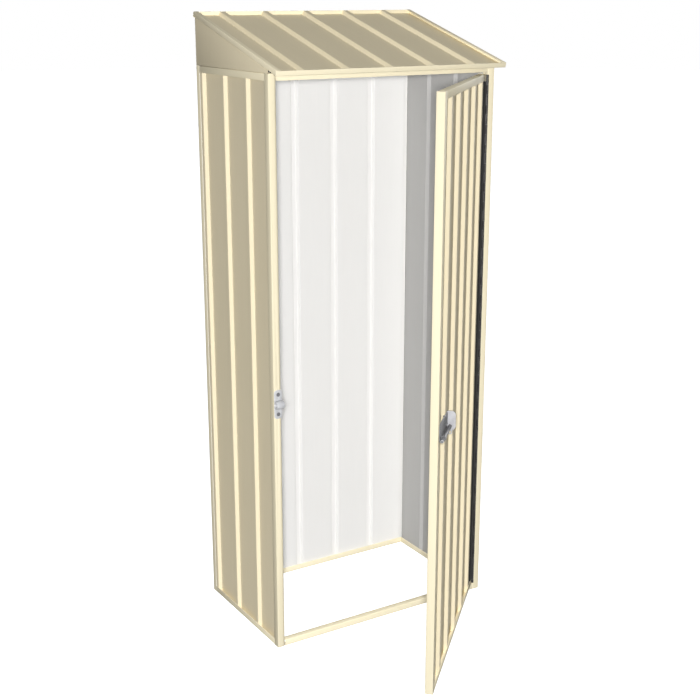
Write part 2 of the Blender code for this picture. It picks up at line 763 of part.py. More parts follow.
def main():
    """Make the locker with its door closed, then open the door to its rest angle."""
    trim_clearance = -sheet_metal - 3 * joint_gap - 2 * frame_metal
    barge_clearance = -sheet_metal - 2 * joint_gap - frame_metal
    make_base()
    make_posts(roof_cutter("back_posts_cut", trim_clearance))
    make_rails()
    make_walls()
    make_gables([roof_cutter("gables_cut", barge_clearance),
                 roof_cutter("gable_ends_cut", trim_clearance, roof_length - trim_flange - overrun)])
    make_roof()
    pivot = make_empty("door_pivot", (hinge_x, hinge_y, 0))
    bolt_carrier = make_empty("bolt_carrier", (door_free_edge, bolt_axis_y, bolt_height))
    hang(bolt_carrier, pivot)
    make_door(pivot)
    make_seal(pivot)
    make_hinge(pivot)
    make_hinge_rivets(pivot)
    make_keeper()
    make_bolt_ear(pivot)
    make_bolt_fixings(pivot)
    make_bolt(bolt_carrier)
    pivot.rotation_euler.z = door_open_angle
    bpy.context.view_layer.update()


main()
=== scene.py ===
# %% [markdown]
# # Dressing a garden locker
#
# This lesson dresses a narrow steel garden locker: ribbed walls and roof in folded cream frames,
# one ribbed door on a continuous hinge, and a sliding bolt that takes a padlock. The solids come
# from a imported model, which fixes every size and every place. The lesson keeps those places and
# gives each part the bends, edges, fasteners and coats of paint that the real thing has.

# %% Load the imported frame
import json
import math

import bmesh
import bpy
from mathutils import Matrix, Vector

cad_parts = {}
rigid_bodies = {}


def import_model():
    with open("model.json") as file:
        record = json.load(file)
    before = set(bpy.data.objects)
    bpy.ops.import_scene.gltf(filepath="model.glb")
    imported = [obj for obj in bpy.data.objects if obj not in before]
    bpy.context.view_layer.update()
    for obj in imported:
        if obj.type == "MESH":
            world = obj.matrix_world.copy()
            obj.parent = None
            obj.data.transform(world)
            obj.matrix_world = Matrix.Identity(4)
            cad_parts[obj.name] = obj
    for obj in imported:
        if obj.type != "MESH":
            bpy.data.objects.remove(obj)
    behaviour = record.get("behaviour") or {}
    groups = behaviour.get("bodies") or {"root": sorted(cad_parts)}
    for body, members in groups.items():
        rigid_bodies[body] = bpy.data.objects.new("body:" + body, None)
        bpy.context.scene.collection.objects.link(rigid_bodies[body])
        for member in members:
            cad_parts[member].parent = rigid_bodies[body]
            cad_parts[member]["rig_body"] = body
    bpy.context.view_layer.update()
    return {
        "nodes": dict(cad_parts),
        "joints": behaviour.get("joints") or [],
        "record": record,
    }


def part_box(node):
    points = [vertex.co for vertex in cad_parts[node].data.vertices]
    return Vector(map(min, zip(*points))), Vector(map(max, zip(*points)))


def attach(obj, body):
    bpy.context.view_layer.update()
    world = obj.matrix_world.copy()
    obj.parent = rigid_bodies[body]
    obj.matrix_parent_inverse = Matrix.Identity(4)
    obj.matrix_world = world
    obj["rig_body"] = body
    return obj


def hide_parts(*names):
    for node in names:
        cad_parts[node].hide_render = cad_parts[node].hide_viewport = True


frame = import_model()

# %% [markdown]
# ## Directions to work in
#
# The locker stands square to the world, but its door is part open and its roof slopes. A maker
# works from each part's own edges, so the lesson does too: it takes the door's directions from the
# bolt's slide, which runs along the door, and the roof's from its pitch. One helper then tells how
# far a part reaches along any direction, which is all that is needed to fit a new piece over it.

# %% Directions and a ruler
X, Y, Z = Vector((1, 0, 0)), Vector((0, 1, 0)), Vector((0, 0, 1))
joints = {joint["name"]: joint for joint in frame["joints"]}
to_free_edge = Vector(joints["bolt_slide"]["axis"]).normalized()
off_door = Z.cross(to_free_edge)
roof_pitch = math.radians(15.93)
up_slope = Vector((0, math.cos(roof_pitch), math.sin(roof_pitch)))
off_roof = X.cross(up_slope)


def reach(node, direction):
    """The lowest and highest place of a CAD node along a direction."""
    along = [vertex.co.dot(direction) for vertex in frame["nodes"][node].data.vertices]
    return min(along), max(along)


low, high = reach("door_sheet", to_free_edge)
print("the door's sheet is", round(high - low, 3), "m wide")

# %% [markdown]
# ## The camera
#
# The picture to match was taken from the left, a little above the locker's top, looking down about
# sixteen degrees. A camera was fitted to the locker's corners, so its place and lens are numbers
# here. A turn of ninety degrees less the downward look, and then the turn to the right, aim it.

# %% Camera
camera = bpy.data.objects.new("camera", bpy.data.cameras.new("camera"))
camera.data.sensor_width = 36
camera.data.lens = 63.5
camera.location = (-2.0035, -3.0649, 1.9718)
look_down, turn_right = math.radians(16.21), math.radians(31.56)
camera.rotation_euler = (math.pi / 2 - look_down, 0, -turn_right)
bpy.context.scene.collection.objects.link(camera)
bpy.context.scene.camera = camera
bpy.context.scene.view_settings.view_transform = "Standard"
print("camera", round((camera.location - Vector((0, 0, 1))).length, 2), "m from the locker")

# %% [markdown]
# ## A small language for node trees
#
# Shader and geometry trees are graphs of small steps. Wiring them by hand hides what they work
# out, so two short classes do it. Graph adds any node from its type, its settings and the values
# of its sockets. Value wraps one output and understands + - * and /, so that a rule such as the
# height of a rib reads like the sum it is.

# %% Values and graphs
class Value:
    """One output of a node, which can be added to, multiplied and compared like a number."""

    def __init__(self, graph, socket):
        self.graph = graph
        self.socket = socket

    def maths(self, operation, *others):
        """The result of a Math node on this value and up to two others."""
        sockets = dict(enumerate((self,) + others))
        return self.graph.add("ShaderNodeMath", {"operation": operation}, sockets)

    def __add__(self, other):
        return self.maths("ADD", other)

    def __sub__(self, other):
        return self.maths("SUBTRACT", other)

    def __mul__(self, other):
        return self.maths("MULTIPLY", other)

    def __truediv__(self, other):
        return self.maths("DIVIDE", other)

    def __rsub__(self, other):
        return self * -1 + other

    __radd__ = __add__
    __rmul__ = __mul__

    def sibling(self, name):
        """Another output of the same node."""
        return Value(self.graph, self.socket.node.outputs[name])


class Graph:
    """Adds nodes to a shader or geometry tree."""

    def __init__(self, tree):
        self.tree = tree
        tree.nodes.clear()

    def add(self, kind, settings=None, sockets=None, out=0):
        """A node with its settings first, then its sockets' values or links."""
        node = self.tree.nodes.new(kind)
        for name, setting in (settings or {}).items():
            if name == "stops":
                for stop, (place, level) in zip(node.color_ramp.elements, setting):
                    stop.position = place
                    stop.color = (level, level, level, 1)
            else:
                setattr(node, name, setting)
        for name, given in (sockets or {}).items():
            socket = node.inputs[name]
            if isinstance(given, Value):
                self.tree.links.new(given.socket, socket)
            elif socket.type == "RGBA":
                socket.default_value = (*given, 1)
            else:
                socket.default_value = given
        return Value(self, node.outputs[out]) if len(node.outputs) else node


# %% [markdown]
# ## The studio
#
# In the picture each face has one even tone and no shadow shows, so its light stands where the
# camera stands: every shadow then hides behind what casts it. A point lamp there does the same. Its
# light would fade with distance, so a falloff node keeps the level the same all the way, as daylight
# does. Rays that go down to the locker's foot meet upright faces at a slant and would light them
# less, so the lamp gives them as much more: one over the share of a ray that runs level. Below
# forty-five degrees, where only floor lies, that stops growing.
#
# Two sun lamps help it. One overhead lifts the roof. The other stands low, behind and to the right:
# it shows the far sides to anyone who walks round, and rakes the open door from the hinge's side, so
# that the ribs shade the strips of sheet that the camera sees.

# %% Lamps
white = (1, 1, 1)


def add_lamp(name, kind, strength):
    """A lamp of a kind, which casts soft shadows and isn't seen itself."""
    lamp = bpy.data.objects.new(name, bpy.data.lights.new(name, kind))
    lamp.data.energy = strength
    lamp.visible_camera = False
    bpy.context.scene.collection.objects.link(lamp)
    return lamp


def add_sun(name, azimuth, elevation, strength, spread):
    """A sun lamp, in degrees: azimuth is from straight ahead of the locker towards its left."""
    turn, lift = math.radians(azimuth), math.radians(elevation)
    towards = Vector((-math.sin(turn) * math.cos(lift), -math.cos(turn) * math.cos(lift), math.sin(lift)))
    lamp = add_lamp(name, "SUN", strength)
    lamp.data.angle = math.radians(spread)
    lamp.rotation_euler = towards.to_track_quat("Z", "Y").to_euler()


key_level, key_size = 3.62, 0.12
steepest_ray = math.radians(45)
key_lamp = add_lamp("key_lamp", "POINT", key_level * 4 * math.pi)
key_lamp.location = camera.location
key_lamp.data.shadow_soft_size = key_size
key_lamp.data.use_nodes = True
graph = Graph(key_lamp.data.node_tree)
even = graph.add("ShaderNodeLightFalloff", None, {"Strength": 1}, out="Constant")
ray = graph.add("ShaderNodeTexCoord", out="Normal")
drop = graph.add("ShaderNodeSeparateXYZ", None, {"Vector": ray}, out="Z")
level_share = (1 - drop * drop).maths("MAXIMUM", math.cos(steepest_ray) ** 2).maths("SQRT")
beam = graph.add("ShaderNodeEmission", None, {"Color": white, "Strength": even / level_share})
graph.add("ShaderNodeOutputLight", None, {"Surface": beam})

add_sun("top_lamp", azimuth=180, elevation=84, strength=0.5, spread=40)
add_sun("far_side_lamp", azimuth=238, elevation=8, strength=2.5, spread=14)

# %% [markdown]
# The surroundings are white to the camera and to polished metal, and dim to everything else, so
# that they make a white background without flooding the locker. The floor works the same way. It
# is a real floor that takes the locker's shadow, and part of what the camera sees of it is its own
# glow, which keeps the shadow pale. It lies a hair under the locker's foot, so that the two don't
# share a plane.

# %% Surroundings and floor
def seen_directly(graph):
    """1 for rays from the camera, a mirror or glass, and 0 for rays that carry light."""
    rays = graph.add("ShaderNodeLightPath", out="Is Camera Ray")
    mirrors = rays.sibling("Is Glossy Ray")
    return rays.maths("MAXIMUM", mirrors.maths("MAXIMUM", rays.sibling("Is Transmission Ray")))


ambient_level = 0.04
world = bpy.data.worlds.new("studio")
world.use_nodes = True
bpy.context.scene.world = world
graph = Graph(world.node_tree)
level = seen_directly(graph) * (1 - ambient_level) + ambient_level
sky = graph.add("ShaderNodeBackground", None, {"Color": white, "Strength": level})
graph.add("ShaderNodeOutputWorld", None, {"Surface": sky})

floor_grey = (0.15, 0.15, 0.15)
floor_radius, floor_drop = 30, 0.0004
glow_level, glow_share = 2.45, 0.36
floor_paint = bpy.data.materials.new("studio_floor")
floor_paint.use_nodes = True
graph = Graph(floor_paint.node_tree)
plain = graph.add("ShaderNodeBsdfDiffuse", None, {"Color": floor_grey})
bright = graph.add("ShaderNodeBsdfDiffuse", None, {"Color": white})
glow = graph.add("ShaderNodeEmission", None, {"Color": white, "Strength": glow_level})
shown = graph.add("ShaderNodeMixShader", None, {0: glow_share, 1: bright, 2: glow})
surface = graph.add("ShaderNodeMixShader", None, {0: seen_directly(graph), 1: plain, 2: shown})
graph.add("ShaderNodeOutputMaterial", None, {"Surface": surface})

floor_mesh = bpy.data.meshes.new("floor")
sheet = bmesh.new()
bmesh.ops.create_circle(sheet, cap_ends=True, segments=64, radius=floor_radius)
bmesh.ops.translate(sheet, verts=sheet.verts, vec=-Z * floor_drop)
sheet.to_mesh(floor_mesh)
sheet.free()
floor_mesh.materials.append(floor_paint)
floor = bpy.data.objects.new("floor", floor_mesh)
bpy.context.scene.collection.objects.link(floor)
print("studio ready: three lamps, even light of", ambient_level, "and a white floor")

# %% [markdown]
# ## Coats of paint
#
# A flat colour never looks like steel. What makes a coat read as paint is small: the faint orange
# peel of powder coat, a slow drift in tone, gloss that isn't quite even, and a thinner, paler coat
# on cut edges. All the patterns read Object coordinates in metres, so a scale of 400 is a grain of
# about two and a half millimetres and stays put when the door turns. Colours are written as on a
# colour card, from 0 to 255, and turned into the linear numbers that light works in.

# %% Helpers for finishes
def card(*levels):
    """A colour card's 0 to 255 levels as linear light."""
    return tuple((level / 255 / 12.92) if level < 11 else ((level / 255 + 0.055) / 1.055) ** 2.4
                 for level in levels)


def start_finish(name):
    """A new material and the graph to fill."""
    material = bpy.data.materials.new(name)
    material.use_nodes = True
    return material, Graph(material.node_tree)


def spot(graph, stretch=(1, 1, 1), turn=0):
    """Where a point is on its piece, with the pattern turned about X and drawn out by stretch."""
    place = graph.add("ShaderNodeTexCoord", out="Object")
    return graph.add("ShaderNodeMapping", {"vector_type": "TEXTURE"},
                     {"Vector": place, "Rotation": (turn, 0, 0), "Scale": stretch})


def grain(graph, where, scale, detail=2):
    """Soft noise from 0 to 1 at a number of lumps to the metre."""
    return graph.add("ShaderNodeTexNoise", None, {"Vector": where, "Scale": scale, "Detail": detail})


def between(graph, amount, first, second):
    """The first colour where amount is 0 and the second where it is 1."""
    return graph.add("ShaderNodeMix", {"data_type": "RGBA"}, {0: amount, 6: first, 7: second}, out=2)


def close_finish(graph, colour, roughness, height, depth, constants):
    """Join what varies to a Principled shader, with the bump's depth in metres."""
    bump = graph.add("ShaderNodeBump", None, {"Strength": 1, "Distance": depth, "Height": height})
    sockets = {"Base Color": colour, "Roughness": roughness, "Normal": bump, **constants}
    shader = graph.add("ShaderNodeBsdfPrincipled", None, sockets)
    graph.add("ShaderNodeOutputMaterial", None, {"Surface": shader})


# %% [markdown]
# ### Cream powder coat
#
# The folded frame is powder coated in a warm cream. Powder melts into a skin with a fine orange
# peel, so the bump is a few hundredths of a millimetre deep. Its tone drifts a little over a hand's
# width, and rain leaves faint dull marks that run down, which only the gloss shows.

# %% Cream finishes
def cream_coat(name, light, shade, gloss):
    """Powder coat between two near tones; gloss is its roughness."""
    material, graph = start_finish(name)
    where = spot(graph)
    drift = grain(graph, where, 5, detail=3)
    runs = grain(graph, spot(graph, stretch=(1, 1, 12)), 60, detail=3)
    peel = grain(graph, where, 420, detail=1)
    fleck = grain(graph, where, 1500, detail=1)
    colour = between(graph, drift * 0.7 + fleck * 0.3, light, shade)
    roughness = runs * 0.16 + drift * 0.06 + gloss
    close_finish(graph, colour, roughness, peel + fleck * 0.3, depth=0.00006,
                 constants={"Specular IOR Level": 0.1})
    return material


cream = cream_coat("cream_powder_coat", card(241, 232, 203), card(237, 226, 195), 0.58)
cream_edge = cream_coat("cream_coat_on_edges", card(247, 240, 216), card(242, 233, 205), 0.48)
print("cream coats mixed")

# %% [markdown]
# ### Coated sheet
#
# The ribbed sheet is painted at the mill before it is rolled to shape. Its outer coat is a matt
# stone colour, darker than the frame. The roof has its own copy of that coat, painted a shade paler,
# which is painted light on the roof. The back has a thin near white coat. The side walls' copy of it
# is painted light grey, which is painted shade on their inner faces. Rolling draws the coats out
# along the sheet, so their streaks are noise stretched twenty times along the ribs. The roof's are
# turned to run down the slope.

# %% Sheet finishes
def mill_coat(name, light, shade, gloss, turn=0):
    """A matt coat with faint streaks along the sheet's length."""
    material, graph = start_finish(name)
    along = (1, 20, 1) if turn else (1, 1, 20)
    streak = grain(graph, spot(graph, along, turn), 160, detail=4)
    drift = grain(graph, spot(graph), 3.5)
    tooth = grain(graph, spot(graph), 900)
    colour = between(graph, streak * 0.45 + drift * 0.4 + tooth * 0.15, light, shade)
    roughness = streak * 0.12 + tooth * 0.08 + gloss
    close_finish(graph, colour, roughness, streak * 0.5 + tooth, depth=0.00004,
                 constants={"Specular IOR Level": 0.06})
    return material


stone = mill_coat("stone_sheet_coat", card(230, 219, 190), card(222, 210, 180), 0.5)
# The roof's copy of the stone coat is painted a shade paler, as painted light; its streaks run down the
# slope.
stone_roof_painted_light = mill_coat("stone_roof_coat_painted_light", card(234, 223, 193), card(226, 214, 183), 0.55, roof_pitch)
backing = mill_coat("white_backing_coat", card(226, 225, 223), card(220, 219, 217), 0.5)
# The same near white backing painted grey: painted shade on the side walls' inner faces.
backing_painted_shade = mill_coat("backing_coat_painted_shade", card(178, 177, 175), card(170, 169, 167), 0.55)
print("sheet coats mixed")

# %% [markdown]
# ### Bare and dark metal
#
# The bolt and the keeper are zinc plated: a grey metal with a cloudy, slightly crystalline look,
# for which cells and noise together shift both tone and gloss. The plating of the bolt's ear and
# pull is a shade darker, and the screws' plating darker again. The bolt's plate, bar and guide get
# a much darker copy of the plating, which is painted shade: they lie on the open door's face, which
# is turned from the light. The continuous hinge has a dark finish that hides in the door's shadow
# line and rubs brighter where it is handled. Its pin and rivets are plain steel.

# %% Metal finishes
def zinc_plate(name, light, shade, gloss):
    """Zinc plating with faint crystals and clouds."""
    material, graph = start_finish(name)
    where = spot(graph)
    crystal = graph.add("ShaderNodeTexVoronoi", None, {"Vector": where, "Scale": 260}, out="Color")
    flake = graph.add("ShaderNodeRGBToBW", None, {"Color": crystal})
    cloud = grain(graph, where, 70, detail=4)
    scuff = grain(graph, spot(graph, stretch=(1, 1, 8)), 900)
    colour = between(graph, flake * 0.35 + cloud * 0.65, light, shade)
    roughness = cloud * 0.2 + flake * 0.08 + gloss
    close_finish(graph, colour, roughness, scuff * 0.6 + cloud, depth=0.00005,
                 constants={"Metallic": 0.15, "Specular IOR Level": 0.35})
    return material


def dark_plate(name):
    """A near black finish, a little brighter where fingers and weather have rubbed it."""
    material, graph = start_finish(name)
    where = spot(graph)
    rub = graph.add("ShaderNodeValToRGB", {"stops": [(0.45, 0), (0.75, 1)]},
                    {"Fac": grain(graph, where, 45, detail=4)})
    pit = grain(graph, where, 1100)
    colour = between(graph, rub, card(32, 30, 29), card(56, 54, 51))
    roughness = pit * 0.15 - rub * 0.1 + 0.45
    close_finish(graph, colour, roughness, pit, depth=0.00004, constants={"Metallic": 0.4})
    return material


zinc = zinc_plate("zinc_plating", card(204, 205, 208), card(186, 187, 190), 0.42)
zinc_edge = zinc_plate("zinc_on_edges", card(222, 223, 225), card(204, 205, 208), 0.32)
worn_zinc = zinc_plate("worn_zinc", card(190, 190, 193), card(166, 166, 169), 0.5)
# A much darker copy of the plating for the bolt's plate, bar and guide: painted shade for the open door's
# face.
zinc_painted_shade = zinc_plate("zinc_painted_shade", card(130, 130, 132), card(106, 106, 108), 0.5)
screw_zinc = zinc_plate("screw_plating", card(128, 128, 131), card(96, 96, 99), 0.4)
dark = dark_plate("dark_hinge_finish")
steel = zinc_plate("drawn_steel", card(168, 168, 170), card(140, 140, 143), 0.3)
print("metals mixed")

# %% [markdown]
# The seal in the door's hinge stile is closed cell foam, nearly black and quite without gloss. Its
# near black also serves as painted shade: it gives the dark band along the open door's hinge side.
# Small cells show in its skin, so a cell pattern pits it.

# %% Foam finish
# Near black foam, which is also painted shade along the door's hinge side.
foam, graph = start_finish("dark_foam")
where = spot(graph)
cells = graph.add("ShaderNodeTexVoronoi", None, {"Vector": where, "Scale": 900}, out="Distance")
colour = between(graph, grain(graph, where, 120, detail=3), card(32, 32, 31), card(22, 22, 22))
close_finish(graph, colour, cells * 0.1 + 0.85, cells, depth=0.0002,
             constants={"Specular IOR Level": 0.3})
print("foam mixed")

# %% [markdown]
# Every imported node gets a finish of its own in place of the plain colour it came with, also the
# ones that a finer piece will stand for later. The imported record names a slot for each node, so
# the slot chooses the finish.

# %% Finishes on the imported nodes
slot_finish = {"cream_frame": cream, "coated_sheet": stone, "dark_hinge": dark,
               "dark_foam": foam, "plain_steel": steel, "zinc_fittings": zinc}
node_slot = {part["node"]: part["material_slot"] for part in frame["record"]["subparts"]}
for name, node in frame["nodes"].items():
    node.data.materials.clear()
    node.data.materials.append(slot_finish[node_slot[name]])
print("finished", len(node_slot), "packed nodes")

# %% [markdown]
# ## From a shape to a piece
#
# Three small helpers serve every piece. One adds an object. One settles it, which means that what
# its modifiers make becomes its plain mesh, and the modifiers go. The last hands the piece over:
# it rides on its body and stands for its imported nodes, which it hides.

# %% Helpers for pieces
def add_piece(name, mesh):
    """A new object at the origin."""
    piece = bpy.data.objects.new(name, mesh)
    bpy.context.scene.collection.objects.link(piece)
    return piece


def settle(piece):
    """Make what the modifiers show the piece's own plain mesh."""
    bpy.context.view_layer.update()
    shown = piece.evaluated_get(bpy.context.evaluated_depsgraph_get())
    mesh = bpy.data.meshes.new_from_object(shown)
    piece.modifiers.clear()
    piece.data = mesh
    mesh.name = piece.name
    return piece


def hand_over(piece, *nodes):
    """The piece stands for these nodes and rides on their body."""
    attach(piece, frame["nodes"][nodes[0]]["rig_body"])
    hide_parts(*nodes)


# %% [markdown]
# ## Shapes that follow a rule
#
# Ribs, knuckles, rivets and screws repeat, so geometry nodes make them. Each tree is built once
# with named inputs, and one helper runs it: it finds each input by its identifier, sets its size,
# settles the result and puts it in place by three directions and a corner.

# %% Helpers for geometry nodes
def new_shape(name, inputs):
    """A geometry tree with named inputs, its graph and the inputs' values."""
    tree = bpy.data.node_groups.new(name, "GeometryNodeTree")
    kinds = {float: "NodeSocketFloat", int: "NodeSocketInt"}
    tree.interface.new_socket("Geometry", in_out="INPUT", socket_type="NodeSocketGeometry")
    for title, value in inputs.items():
        kind = kinds.get(type(value), value if isinstance(value, str) else None)
        tree.interface.new_socket(title, in_out="INPUT", socket_type=kind)
    tree.interface.new_socket("Geometry", in_out="OUTPUT", socket_type="NodeSocketGeometry")
    graph = Graph(tree)
    start = graph.add("NodeGroupInput")
    return tree, graph, {title: start.sibling(title) for title in ["Geometry", *inputs]}


def end_shape(graph, geometry, finish):
    """Close a tree: real geometry in place of instances, smooth, and in its finish."""
    real = graph.add("GeometryNodeRealizeInstances", None, {"Geometry": geometry})
    smooth = graph.add("GeometryNodeSetShadeSmooth", None, {"Geometry": real})
    painted = graph.add("GeometryNodeSetMaterial", None, {"Geometry": smooth, "Material": finish})
    graph.add("NodeGroupOutput", None, {"Geometry": painted})


def run_shape(tree, name, sizes, mesh=None):
    """A piece made by a tree with these sizes, from nothing or from a mesh."""
    piece = add_piece(name, mesh or bpy.data.meshes.new(name))
    maker = piece.modifiers.new("shape", "NODES")
    maker.node_group = tree
    for item in tree.interface.items_tree:
        if item.in_out == "INPUT" and item.name in sizes:
            maker[item.identifier] = sizes[item.name]
    return settle(piece)


def put(piece, corner, along, outward):
    """Move a piece's mesh so that its X runs along, its Y outward and its origin to the corner."""
    turned_to_part = Matrix((along, outward, along.cross(outward))).transposed().to_4x4()
    piece.data.transform(Matrix.Translation(corner) @ turned_to_part)


# %% [markdown]
# ## Ribbed sheet
#
# The walls, the door's panel and the roof are of one kind: thin steel, rolled into flat pans with
# trapezoid ribs between them, a little closer on the door. The whole sheet follows one rule, the
# height of its face at each place across it, so this tree is mostly that rule. A line of points runs
# across the sheet. Each finds its nearest rib and how far it is from its middle, and rises along the
# flank. Smooth minimum and maximum round the bends, as rolls do. The line is then drawn out to the
# full length.

# %% Ribbed sheet tree
sheet_tree, graph, size = new_shape("ribbed_sheet", {
    "Span": 0.5, "Length": 1.0, "First Rib": 0.1, "Rib Pitch": 0.1, "Rib Height": 0.1,
    "Crest Width": 0.1, "Foot Width": 0.1, "Bend": 0.1, "Finish": "NodeSocketMaterial"})
points_to_a_rib = 194
step = size["Rib Pitch"] / points_to_a_rib
phase = size["First Rib"].maths("MODULO", step)
count = (size["Span"] / step).maths("CEIL") + 2
line = graph.add("GeometryNodeMeshLine", {"mode": "OFFSET"}, {"Count": count})
index = graph.add("GeometryNodeInputIndex")
across = ((index - 1) * step + phase).maths("MAXIMUM", 0).maths("MINIMUM", size["Span"])
last_rib = ((size["Span"] - size["First Rib"] + size["Foot Width"] / 2) / size["Rib Pitch"]).maths("FLOOR")
nearest = ((across - size["First Rib"]) / size["Rib Pitch"]).maths("ROUND")
nearest = nearest.maths("MAXIMUM", 0).maths("MINIMUM", last_rib)
from_rib = (across - size["First Rib"] - nearest * size["Rib Pitch"]).maths("ABSOLUTE")
flank = (size["Foot Width"] - size["Crest Width"]) / 2
rise = (size["Foot Width"] / 2 - from_rib) / flank
rise = rise.maths("SMOOTH_MIN", 1, size["Bend"]).maths("SMOOTH_MAX", 0, size["Bend"])
spots = graph.add("ShaderNodeCombineXYZ", None, {"X": across, "Y": rise * size["Rib Height"]})
bent = graph.add("GeometryNodeSetPosition", None, {"Geometry": line, "Position": spots})
single = graph.add("GeometryNodeMergeByDistance", None, {"Geometry": bent, "Distance": 0.00001})
run = graph.add("ShaderNodeCombineXYZ", None, {"Z": size["Length"]})
drawn = graph.add("GeometryNodeExtrudeMesh", {"mode": "EDGES"}, {"Mesh": single, "Offset": run})
end_shape(graph, drawn, size["Finish"])
print("ribbed sheet tree:", len(sheet_tree.nodes), "nodes")

# %% [markdown]
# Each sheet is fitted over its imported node: the span and the length are measured along the
# sheet's own directions. The tree gives the outer face alone. The backing coat belongs to the
# inner face, so the metal's thickness comes from a solidify modifier, which can give the inner
# face the next material.

# %% Ribbed sheets
sheet_metal = 0.0006
wall_rib_pitch, door_rib_pitch = 0.1455, 0.134
rib_sizes = {"Rib Height": 0.011, "Crest Width": 0.016, "Foot Width": 0.028, "Bend": 0.12}


def face_outward(mesh, outward):
    """Turn an open surface's faces so that most of them look outward."""
    if sum(face.area * face.normal.dot(outward) for face in mesh.polygons) < 0:
        mesh.flip_normals()


def make_sheet(name, node, along, outward, first_rib, finish=stone, inside=backing,
               pitch=wall_rib_pitch):
    """A ribbed sheet with its coat for each side, in place of a packed one."""
    length_way = along.cross(outward)
    start, end = reach(node, along)
    back_face = reach(node, outward)[0]
    foot, head = reach(node, length_way)
    sheet = run_shape(sheet_tree, name, {"Span": end - start, "Length": head - foot,
                                         "First Rib": first_rib, "Rib Pitch": pitch,
                                         "Finish": finish, **rib_sizes})
    face_outward(sheet.data, Y)
    sheet.data.materials.append(inside)
    metal = sheet.modifiers.new("metal", "SOLIDIFY")
    metal.thickness = sheet_metal
    metal.offset = -1
    metal.use_even_offset = True
    metal.material_offset = 1
    settle(sheet)
    sheet.data.set_sharp_from_angle(angle=math.radians(50))
    put(sheet, along * start + outward * (back_face + sheet_metal) + length_way * foot, along, outward)
    hand_over(sheet, node)
    print(name, round(end - start, 3), "by", round(head - foot, 3), "m,", len(sheet.data.polygons), "faces")


# The side walls' inner faces take the grey copy of the backing, as painted shade.
make_sheet("left_wall", "left_wall_sheet", Y, -X, first_rib=0.1345, inside=backing_painted_shade)
make_sheet("right_wall", "right_wall_sheet", -Y, X, first_rib=0.129, inside=backing_painted_shade)
make_sheet("back_wall", "back_wall_sheet", X, Y, first_rib=0.0279)
make_sheet("door_panel", "door_sheet", to_free_edge, off_door, first_rib=0.06, pitch=door_rib_pitch)
# The roof takes the paler copy of the stone coat, which is painted light.
make_sheet("roof", "roof_sheet", X, off_roof, first_rib=0.0955, finish=stone_roof_painted_light)

# %% [markdown]
# ## Folded frame
#
# Posts, rails, channels, cappings and the door's own frame are folded from thicker steel. Their
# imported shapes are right, and what they lack is what catches the light: smooth bends in place of
# flat steps, and cut edges that are eased and take a thinner coat. So each is copied, its loose
# triangles are joined and its flat faces made whole, and a small bevel eases its sharp edges.

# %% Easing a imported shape
smooth_below = math.radians(35)
weld, flat_within = 0.000002, math.radians(0.3)


def eased_copy(name, node, ease, faces, edges):
    """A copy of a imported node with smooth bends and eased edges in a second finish."""
    mesh = frame["nodes"][node].data.copy()
    mesh.materials.clear()
    shell = bmesh.new()
    shell.from_mesh(mesh)
    bmesh.ops.remove_doubles(shell, verts=shell.verts, dist=weld)
    bmesh.ops.dissolve_limit(shell, angle_limit=flat_within, verts=shell.verts, edges=shell.edges)
    shell.to_mesh(mesh)
    shell.free()
    mesh.materials.append(faces)
    mesh.materials.append(edges)
    mesh.shade_smooth()
    piece = add_piece(name, mesh)
    bevel = piece.modifiers.new("eased_edges", "BEVEL")
    bevel.width = ease
    bevel.segments = 2
    bevel.limit_method = "ANGLE"
    bevel.angle_limit = smooth_below
    bevel.material = 1
    bevel.use_clamp_overlap = True
    settle(piece)
    piece.data.set_sharp_from_angle(angle=smooth_below)
    return piece


# %% [markdown]
# Most of the folded parts are cream all over. The bevel is a quarter of a millimetre, about what is
# left when a sheared edge has been coated.

# %% Frame pieces
folded_ease = 0.00025
frame_parts = ["front_threshold", "base_channel_left", "base_channel_right", "base_channel_back",
               "front_right_post", "header_rail", "side_rail_left", "side_rail_right", "back_top_rail",
               "roof_barge_left", "roof_barge_right", "roof_front_trim", "roof_back_trim",
               "door_hinge_stile", "door_free_stile", "door_top_rail", "door_bottom_rail"]
for node in frame_parts:
    piece = eased_copy(node + "_coated", node, folded_ease, cream, cream_edge)
    hand_over(piece, node)
print("eased", len(frame_parts), "folded parts")

# %% [markdown]
# The left post, which takes the keeper, has a softer corner towards the doorway: its front face
# slopes back over the last few millimetres, which shades that edge. So its copy is sliced near the
# corner, and the slices are moved back more and more. The move fades out over the depth of the
# post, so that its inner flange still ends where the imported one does.

# %% Left post with a sloped corner
slope_width, slope_depth, slope_power = 0.0075, 0.0037, 1.3
slice_shares = (0, 0.1, 0.25, 0.5, 0.75)
post = eased_copy("front_left_post_coated", "front_left_post", folded_ease, cream, cream_edge)
(_, post_front, _), (post_corner, post_back, _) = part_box("front_left_post")
slope_start = post_corner - slope_width
shell = bmesh.new()
shell.from_mesh(post.data)
for share in slice_shares:
    everything = shell.verts[:] + shell.edges[:] + shell.faces[:]
    cut_at = X * (slope_start + slope_width * share)
    bmesh.ops.bisect_plane(shell, geom=everything, plane_co=cut_at, plane_no=X)
for vertex in shell.verts:
    across = min(max((vertex.co.x - slope_start) / slope_width, 0), 1)
    fade = 1 - (vertex.co.y - post_front) / (post_back - post_front)
    vertex.co.y += slope_depth * across ** slope_power * fade
shell.to_mesh(post.data)
shell.free()
post.data.set_sharp_from_angle(angle=smooth_below)
hand_over(post, "front_left_post")
print("sloped the corner of the left post:", len(post.data.polygons), "faces")

# %% [markdown]
# Four parts have a backing coat inside, as the sheets have: the flat gables over the side rails and
# the two corner angles at the back, whose inner faces show between the walls. A face's own direction
# tells which side it is on, so no second shape is needed.

# %% Parts with a backing coat
gable_ease = 0.00012


